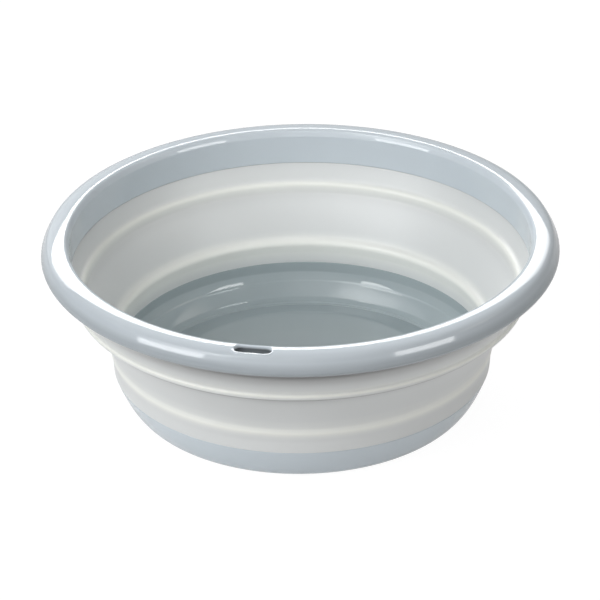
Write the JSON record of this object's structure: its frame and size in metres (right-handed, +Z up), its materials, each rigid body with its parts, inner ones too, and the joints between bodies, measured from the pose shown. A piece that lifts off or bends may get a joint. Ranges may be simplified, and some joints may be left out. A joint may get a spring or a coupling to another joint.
{
  "type": "collapsible camp washbasin",
  "caption": "Round folding washbasin: stiff rim with a hanging slot, soft folding wall and stiff base cup; the rim pushes down to store it flat.",
  "frame": {"origin": "middle of the foot ring, on the surface that the basin stands on", "axes": "+Z up along the basin's axis; -Y towards the hanging slot; +X to its right, seen from the slot's side"},
  "size_m": [0.32, 0.32, 0.112],
  "materials": {
    "rim_plastic": "gloss blue-grey moulded plastic",
    "base_plastic": "gloss blue-grey moulded plastic",
    "soft_wall": "satin white thermoplastic rubber"
  },
  "bodies": {
    "base": {"base_cup": "base_plastic", "lower_band": "soft_wall"},
    "panel": {"fold_panel": "soft_wall"},
    "rim": {"rim_frame": "rim_plastic", "upper_band": "soft_wall"}
  },
  "joints": [
    {"name": "rim_collapse", "type": "slide", "parent": "base", "child": "rim", "axis": [0, 0, -1], "range_m": [0, 0.066]},
    {"name": "panel_fold", "type": "slide", "parent": "base", "child": "panel", "axis": [0, 0, -1], "range_m": [0, 0.033]}
  ],
  "couplings": [
    {"joint": "panel_fold", "follows": "rim_collapse", "ratio": 0.5}
  ]
}
